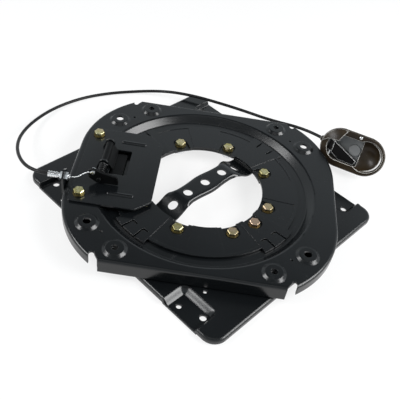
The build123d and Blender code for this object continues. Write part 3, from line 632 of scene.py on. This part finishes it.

# %% [markdown]
# ## Stranded wire
# Between the adjuster and the lock the cable's inner wire runs bare. It is six strands laid round
# one another. Sweeping six circles along the path would give straight strands, so the path is
# also tilted more and more along its length, and the sweep twists them.

# %% Strand tree
strand_count, strand_sides, strand_step = 6, 8, 0.6 * MM
strand_sizes = {
    "Strand": "NodeSocketFloat",
    "Lay": "NodeSocketFloat",
    "Twist": "NodeSocketFloat",
    "Finish": "NodeSocketMaterial",
}
strands, size, strands_out = start_tree("stranded_wire", strand_sizes)
here = Wire(strands)
line = here.make("GeometryNodeMeshToCurve", {"Mesh": size["Geometry"]})
bent = here.make("GeometryNodeCurveSplineType", {"Curve": line}, spline_type="NURBS")
spacing = {"Curve": bent, "Length": strand_step}
even = here.make("GeometryNodeResampleCurve", spacing, mode="LENGTH")
run = here.make("GeometryNodeSplineParameter", output=1)
tilted = here.make("GeometryNodeSetCurveTilt", {"Curve": even, "Tilt": run * size["Twist"]})
round_strand = here.make(
    "GeometryNodeCurvePrimitiveCircle",
    {"Resolution": strand_sides, "Radius": size["Strand"]},
)
lay_circle = here.make("GeometryNodeMeshCircle", {"Vertices": strand_count, "Radius": size["Lay"]})
bundle = here.make(
    "GeometryNodeInstanceOnPoints",
    {"Points": lay_circle, "Instance": round_strand},
)
profile = here.make("GeometryNodeRealizeInstances", {"Geometry": bundle})
swept = here.make(
    "GeometryNodeCurveToMesh",
    {"Curve": tilted, "Profile Curve": profile, "Fill Caps": True},
)
whole = here.make("GeometryNodeRealizeInstances", {"Geometry": swept})
coated = here.make("GeometryNodeSetMaterial", {"Geometry": whole, "Material": size["Finish"]})
strands.links.new(coated.socket, strands_out.inputs["Geometry"])
print("strand tree nodes", len(strands.nodes))

# %% Wire from adjuster to release arm
nipple_low, nipple_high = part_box("wire_nipple")
nipple_z = (nipple_low.z + nipple_high.z) / 2 / MM
wire_slot = slot_of["inner_wire"]
wire_route = [
    (-186.0, -45.0, 45.46),
    (-181.0, -45.0, 45.46),
    (-172.0, -45.0, 45.46),
    (-163.0, -42.1, nipple_z),
    (-154.5, -42.1, nipple_z),
]
wire_edges = [(step, step + 1) for step in range(len(wire_route) - 1)]
bare_wire = grow(
    "bare_wire",
    strands,
    wire_route,
    wire_edges,
    Strand=0.29 * MM,
    Lay=0.52 * MM,
    Twist=700.0,
    Finish=finishes[wire_slot],
)
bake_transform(bare_wire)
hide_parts("inner_wire")

# %% [markdown]
# ## Lock plate beads
# Two beads stiffen the lock plate. A press rolls them round, so each one shows a glint at both ends
# and a dark line between them. The tree pulls a ball apart along its length, flattens it and puts a
# copy on each point.

# %% Bead tree
bead_sizes = {
    "Width": "NodeSocketFloat",
    "Run": "NodeSocketFloat",
    "Flatness": "NodeSocketFloat",
    "Finish": "NodeSocketMaterial",
}
bead, size, bead_out = start_tree("pressed_bead", bead_sizes)
here = Wire(bead)
ball = here.make(
    "GeometryNodeMeshUVSphere",
    {"Segments": 40, "Rings": 20, "Radius": size["Width"] * 0.5},
)
spot = here.make("GeometryNodeInputPosition")
lengthways = here.make("ShaderNodeSeparateXYZ", {0: spot}, output=0)
pull = here.make("ShaderNodeMath", {0: lengthways}, operation="SIGN") * size["Run"] * 0.5
shift = here.make("ShaderNodeCombineXYZ", {"X": pull})
pulled = here.make("GeometryNodeSetPosition", {"Geometry": ball, "Offset": shift})
press = here.make("ShaderNodeCombineXYZ", {"X": 1.0, "Y": 1.0, "Z": size["Flatness"]})
pressed = here.make("GeometryNodeTransform", {"Geometry": pulled, "Scale": press})
copies = here.make(
    "GeometryNodeInstanceOnPoints",
    {"Points": size["Geometry"], "Instance": pressed},
)
whole = here.make("GeometryNodeRealizeInstances", {"Geometry": copies})
smooth = here.make("GeometryNodeSetShadeSmooth", {"Geometry": whole, "Shade Smooth": True})
coated = here.make("GeometryNodeSetMaterial", {"Geometry": smooth, "Material": size["Finish"]})
bead.links.new(coated.socket, bead_out.inputs["Geometry"])
print("bead tree nodes", len(bead.nodes))

# %% Beads on the lock plate
bead_x, bead_y = -112.5, 56.0
bead_width, bead_run, bead_flatness = 6.6, 31.0, 0.66
lock_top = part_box("lock_plate_washers")[0].z / MM
bead_spots = [(bead_x, side * bead_y, lock_top) for side in (1, -1)]
beads = grow(
    "lock_plate_beads",
    bead,
    bead_spots,
    [],
    Width=bead_width * MM,
    Run=bead_run * MM,
    Flatness=bead_flatness,
    Finish=finishes["black_paint"],
)
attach(beads, "turntable")

# %% [markdown]
# ## Centre strap
# The strap across the opening is one strip of sheet, pressed into an arch with its long edges
# turned down. Straight CAD runs show the fold lines, while the real one bends softly. So the strip
# is drawn as rows across its length: each row is a flat middle and two edges that curl by an angle,
# and the curl fades out towards the feet. Solidify gives the thickness and a Boolean the holes.

# %% Strap rows
turned = math.radians(base_turn)
strap_across = Vector((math.cos(turned), math.sin(turned), 0))
strap_along = Vector((-strap_across.y, strap_across.x, 0))
strap_reach, strap_low, strap_rise = 102.0, 18.0, 15.0
arch_from, arch_to = 45.0, 81.0
flat_half, belly, belly_run = 11.2, 2.6, 20.0
curl_radius, curl_tail, least_curl = 4.0, 2.0, 1e-4
curl_from, curl_to = 36.0, 62.0
row_step, flat_steps, curl_steps = 2.0, 4, 6


def ease(value, low, high):
    """A smooth step from one below low to nought above high."""
    t = min(1.0, max(0.0, (value - low) / (high - low)))
    return 1.0 - t * t * (3.0 - 2.0 * t)


def strap_row(run):
    """One row of the strap: offsets across and heights, in millimetres."""
    top = strap_low + strap_rise * ease(abs(run), arch_from, arch_to)
    flat = flat_half + belly * math.exp(-((run / belly_run) ** 2))
    bend = least_curl + math.pi / 2 * ease(abs(run), curl_from, curl_to)
    curl = curl_radius * math.pi / 2
    side = [(flat * step / flat_steps, top) for step in range(flat_steps + 1)]
    for step in range(1, curl_steps + 1):
        angle = bend * step / curl_steps
        out = flat + curl * math.sin(angle) / bend
        low = top - curl * (1 - math.cos(angle)) / bend
        side.append((out, low))
    side.append((out + curl_tail * math.cos(bend), low - curl_tail * math.sin(bend)))
    return [(-w, z) for w, z in reversed(side[1:])] + side


strap_rows = []
for step in range(int(2 * strap_reach / row_step) + 1):
    run = -strap_reach + row_step * step
    middle = strap_along * run
    row = [middle + strap_across * w + Vector((0, 0, z)) for w, z in strap_row(run)]
    strap_rows.append(row)
print("strap rows", len(strap_rows), "with points", len(strap_rows[0]))

# %% Strap sheet
strap_thickness = 2.6 * MM
wide = len(strap_rows[0])
strap_points = [spot * MM for row in strap_rows for spot in row]
strap_faces = []
for row in range(len(strap_rows) - 1):
    for column in range(wide - 1):
        first = row * wide + column
        strap_faces.append((first, first + 1, first + wide + 1, first + wide))
strap_sheet = bpy.data.meshes.new("arched_strap_sheet")
strap_sheet.from_pydata(strap_points, [], strap_faces)
strap = put("arched_strap", strap_sheet)
thick = strap.modifiers.new("thick", "SOLIDIFY")
thick.thickness = strap_thickness
thick.offset = -1.0
print("strap sheet faces", len(strap_faces))

# %% Strap holes
hole_runs = (-62.5, -34.5, 0.0, 34.5, 62.5)
hole_radius, punch_middle, punch_depth = 6.75 * MM, 25.0, 30.0 * MM
punch = bmesh.new()
for run in hole_runs:
    spot = strap_along * run + Vector((0, 0, punch_middle))
    bmesh.ops.create_cone(
        punch,
        cap_ends=True,
        segments=48,
        radius1=hole_radius,
        radius2=hole_radius,
        depth=punch_depth,
        matrix=Matrix.Translation(spot * MM),
    )
punch_mesh = bpy.data.meshes.new("strap_punch")
punch.to_mesh(punch_mesh)
punch.free()
puncher = put("strap_punch", punch_mesh)
holes = strap.modifiers.new("holes", "BOOLEAN")
holes.object = puncher
holes.solver = "EXACT"
strap_mesh = settled(strap)
strap.modifiers.clear()
strap.data = strap_mesh
bpy.data.objects.remove(puncher)
print("strap holes", len(hole_runs))


# %% Strap finish
def soften(mesh, sharp_over):
    """Smooth shading, with an edge kept sharp where it turns by more than some degrees."""
    mesh.shade_smooth()
    mesh.set_sharp_from_angle(angle=math.radians(sharp_over))


soften(strap_mesh, 35)
strap_mesh.materials.clear()
strap_mesh.materials.append(finishes["black_paint"])
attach(strap, "base")
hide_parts("center_strap")
print("strap faces", len(strap_mesh.polygons))

# %% [markdown]
# ## Drawn walls of the foot pads
# Each foot pad is drawn down into the base plate, and the sheet flows into it over a soft slope.
# The CAD wall is steep and plain. This piece lays the slope over it: one cross-section, a short
# round at the top and a long fall to the pad, is carried round the pad's three walls. It is
# narrower at the wall beside the bolt hole. Four pads mirror one another, so the same outline is
# used with both signs.

# %% Pad outline
pad_left, pad_right, pad_start, pad_end, pad_corner = 104.0, 157.0, 138.0, 170.6, 7.0
wall_in_wide, wall_in_narrow = 5.2, 1.6
side_stops = (pad_end, 162.0, 154.0, 148.0)
corner_steps, front_steps, narrow_by = 8, 7, 6


def corner_stops(centre_u, first_angle, run_ins):
    """Stops round one corner of the pad, a quarter turn on from its first angle."""
    stops = []
    for step, run_in in enumerate(run_ins):
        angle = math.radians(first_angle + 90 * step / corner_steps)
        away_u, away_v = math.cos(angle), math.sin(angle)
        foot = (centre_u + pad_corner * away_u, pad_start + pad_corner + pad_corner * away_v)
        stops.append((foot, (-away_u, -away_v), run_in))
    return stops


def pad_outline():
    """Foot of the three walls: spot, inward direction and how far the slope runs in."""
    stops = [((pad_left, v), (1, 0), wall_in_wide) for v in side_stops]
    stops += corner_stops(pad_left + pad_corner, 180, [wall_in_wide] * (corner_steps + 1))
    for step in range(1, front_steps):
        front_run = pad_right - pad_left - 2 * pad_corner
        u = pad_left + pad_corner + front_run * step / front_steps
        stops.append(((u, pad_start), (0, 1), wall_in_wide))
    spread = wall_in_wide - wall_in_narrow
    narrowing = [
        wall_in_narrow + spread * ease(step, 0, narrow_by) for step in range(corner_steps + 1)
    ]
    stops += corner_stops(pad_right - pad_corner, 270, narrowing)
    stops += [((pad_right, v), (-1, 0), wall_in_narrow) for v in reversed(side_stops)]
    return stops


print("stops round a pad", len(pad_outline()))

# %% Wall section
pad_floor, pad_top, wall_out = 3.0, 10.0, 3.3
slope_steps, roundness = 12, 0.35
lift, sink = 0.03, 0.4
under_foot, under_top_out, under_top_drop = 0.3, 0.2, 0.5


def wall_section(run_in):
    """Cross-section of the slope: distance in from the wall's foot, and height."""
    section = []
    for step in range(slope_steps + 1):
        t = step / slope_steps
        fall = roundness * ease(t, 0.0, 1.0) + (1.0 - roundness) * (1.0 - t)
        tall = pad_floor + lift + (pad_top - pad_floor) * fall
        section.append((-wall_out + (wall_out + run_in) * t, tall))
    section.append((run_in, pad_floor - sink))
    section.append((-under_foot, pad_floor - sink))
    section.append((-wall_out - under_top_out, pad_top - under_top_drop))
    return section


print("points in a section", len(wall_section(wall_in_wide)))


# %% Walls of the four pads
def join_loops(shape, one, two):
    """A band of faces between two loops of the same number of points."""
    for step in range(len(one)):
        after = (step + 1) % len(one)
        shape.faces.new((one[step], one[after], two[after], two[step]))


def mesh_piece(name, shape, finish):
    """Turn a closed bmesh into an object with one finish, its faces pointing outwards."""
    bmesh.ops.recalc_face_normals(shape, faces=shape.faces)
    mesh = bpy.data.meshes.new(name)
    shape.to_mesh(mesh)
    shape.free()
    mesh.materials.append(finish)
    print(name, "faces", len(mesh.polygons))
    return put(name, mesh)


walls = bmesh.new()
for u_side, v_side in ((1, 1), (1, -1), (-1, 1), (-1, -1)):
    loops = []
    for (u, v), (in_u, in_v), run_in in pad_outline():
        loop = []
        for distance, tall in wall_section(run_in):
            by_u = strap_across * (u_side * (u + in_u * distance))
            by_v = strap_along * (v_side * (v + in_v * distance))
            loop.append(walls.verts.new((by_u + by_v + Vector((0, 0, tall))) * MM))
        loops.append(loop)
    for one, two in zip(loops, loops[1:]):
        join_loops(walls, one, two)
    walls.faces.new(loops[0])
    walls.faces.new(list(reversed(loops[-1])))
pad_walls = mesh_piece("pad_walls", walls, finishes["black_paint"])
soften(pad_walls.data, 40)
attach(pad_walls, "base")

# %% [markdown]
# ## Handle screw
# A small pan-head screw with a cross recess holds the handle's tray. A boolean would leave
# slivers in such a small head, so the head is a polar grid whose height is worked out point by
# point: a dome, less the depth of the cross.

# %% Screw head surface
handle_turn = math.radians(-20.0)
handle_lean = math.radians(20.095)
along = Vector((math.cos(handle_turn), math.sin(handle_turn), 0))
leaning_back = Vector((-math.sin(handle_turn), math.cos(handle_turn), 0))
rise = leaning_back * math.sin(handle_lean) + Vector((0, 0, math.cos(handle_lean)))
outward = along.cross(rise)
screw_seat = Vector((228.014, 116.516, 66.272)) * MM
head_radius, head_height, head_crown = 2.5, 1.6, 0.75
recess_arm, recess_half, recess_depth = 1.45, 0.36, 1.0


def head_surface(radius, angle):
    """Height of the screw head over its seat, in millimetres."""
    dome = head_height * math.sqrt(max(0.0, 1 - head_crown * (radius / head_radius) ** 2))
    u, v = abs(radius * math.cos(angle)), abs(radius * math.sin(angle))
    in_cross = (u < recess_half and v < recess_arm) or (v < recess_half and u < recess_arm)
    return dome - recess_depth if in_cross else dome


def head_spot(radius, angle, tall):
    """A point over the screw's seat, at a radius and a height in millimetres."""
    spot = screw_seat + along * (radius * math.cos(angle) * MM)
    spot = spot + rise * (radius * math.sin(angle) * MM)
    return spot + outward * (tall * MM)


print("screw rim height", round(head_surface(head_radius, 0.0), 3), "mm")

# %% Screw head
rings, steps = 30, 72
angles = [2 * math.pi * step / steps for step in range(steps)]
head = bmesh.new()
loops = []
for ring in range(1, rings + 1):
    radius = head_radius * ring / rings
    spots = [head_spot(radius, angle, head_surface(radius, angle)) for angle in angles]
    loops.append([head.verts.new(spot) for spot in spots])
foot = [head.verts.new(head_spot(head_radius, angle, 0.0)) for angle in angles]
loops.append(foot)
crown = head.verts.new(head_spot(0.0, 0.0, head_height - recess_depth))
for step in range(steps):
    head.faces.new((crown, loops[0][step], loops[0][(step + 1) % steps]))
for inner, outer in zip(loops, loops[1:]):
    join_loops(head, inner, outer)
head.faces.new(list(reversed(foot)))
screw_slot = slot_of["handle_screw"]
cross_screw = mesh_piece("cross_screw", head, finishes[screw_slot])
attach(cross_screw, "turntable")
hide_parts("handle_screw")

# %% [markdown]
# ## Studio
# The photograph has a white ground with hardly any shadow, and a tall soft panel on each side.
# Those two panels draw the white glints on the boss slopes and round the dish. A brighter room
# would keep the floor white, but would wash out the black paint too. So the floor is a matte grey
# that also glows, for the camera, for reflections and through glass only. It stays white, keeps
# the object's shadow and throws no more light on the paint.

# %% Floor
floor_grey, floor_glow, floor_reach = 0.24, 0.76, 8.0
floor_paint = bpy.data.materials.new("studio_floor")
floor_paint.use_nodes = True
floor_tree = floor_paint.node_tree
floor_tree.nodes.clear()
here = Wire(floor_tree)
matte = here.make("ShaderNodeBsdfDiffuse", {"Color": shade(floor_grey, floor_grey, floor_grey)})
glow = here.make("ShaderNodeEmission", {"Color": shade(1, 1, 1), "Strength": floor_glow})
by_camera = here.make("ShaderNodeLightPath", output="Is Camera Ray")
by_gloss = here.make("ShaderNodeLightPath", output="Is Glossy Ray")
by_glass = here.make("ShaderNodeLightPath", output="Is Transmission Ray")
lit = here.make("ShaderNodeAddShader", {0: matte, 1: glow})
seen = by_camera + by_gloss + by_glass
mixed = here.make("ShaderNodeMixShader", {0: seen, 1: matte, 2: lit})
here.make("ShaderNodeOutputMaterial", {"Surface": mixed})
floor_signs = ((-1, -1), (1, -1), (1, 1), (-1, 1))
floor_corners = [(floor_reach * x, floor_reach * y, 0) for x, y in floor_signs]
floor_mesh = bpy.data.meshes.new("floor")
floor_mesh.from_pydata(floor_corners, [], [(0, 1, 2, 3)])
floor_mesh.materials.append(floor_paint)
floor = put("floor", floor_mesh)
print("floor nodes", len(floor_tree.nodes))


# %% Lights
def panel(name, place, size, power):
    """A soft rectangular light that faces the object."""
    data = bpy.data.lights.new(name, "AREA")
    data.shape = "RECTANGLE"
    data.size, data.size_y = size
    data.energy = power
    lamp = put(name, data)
    lamp.location = place
    lamp.rotation_mode = "QUATERNION"
    lamp.rotation_quaternion = (-Vector(place)).to_track_quat("-Z", "Y")
    print(name, "radiance", round(power / (math.pi * size[0] * size[1]), 2))


panel("right_panel", (1.29, -0.18, 1.00), (1.10, 0.80), 26.0)
panel("left_panel", (-1.27, -0.32, 1.00), (1.00, 0.50), 14.0)
panel("top_fill", (0.0, -0.6, 2.2), (1.4, 1.0), 3.0)

# %% [markdown]
# ## Room
# Black paint shows the room more than its own colour. The photograph's room is pale all round and
# dark overhead, so the flat plates look black and their slopes grey. A picture of a room could
# light the scene, but one smooth step by height does the same.

# %% World
dim_from, dim_to = 0.62, 0.78
side_glow, top_glow = 0.62, 0.08
world = bpy.data.worlds.new("studio")
world.use_nodes = True
sky = world.node_tree.nodes["Background"]
sky.inputs["Color"].default_value = shade(0.93, 1.0, 1.04)
here = Wire(world.node_tree)
direction = here.make("ShaderNodeTexCoord", output=0)
height = here.make("ShaderNodeSeparateXYZ", {0: direction}, output=2)
strength = height.clamp(dim_from, dim_to, side_glow, top_glow)
world.node_tree.links.new(strength.socket, sky.inputs["Strength"])
scene.world = world
scene.view_settings.view_transform = "Standard"
print("world nodes", len(world.node_tree.nodes))

# %% [markdown]
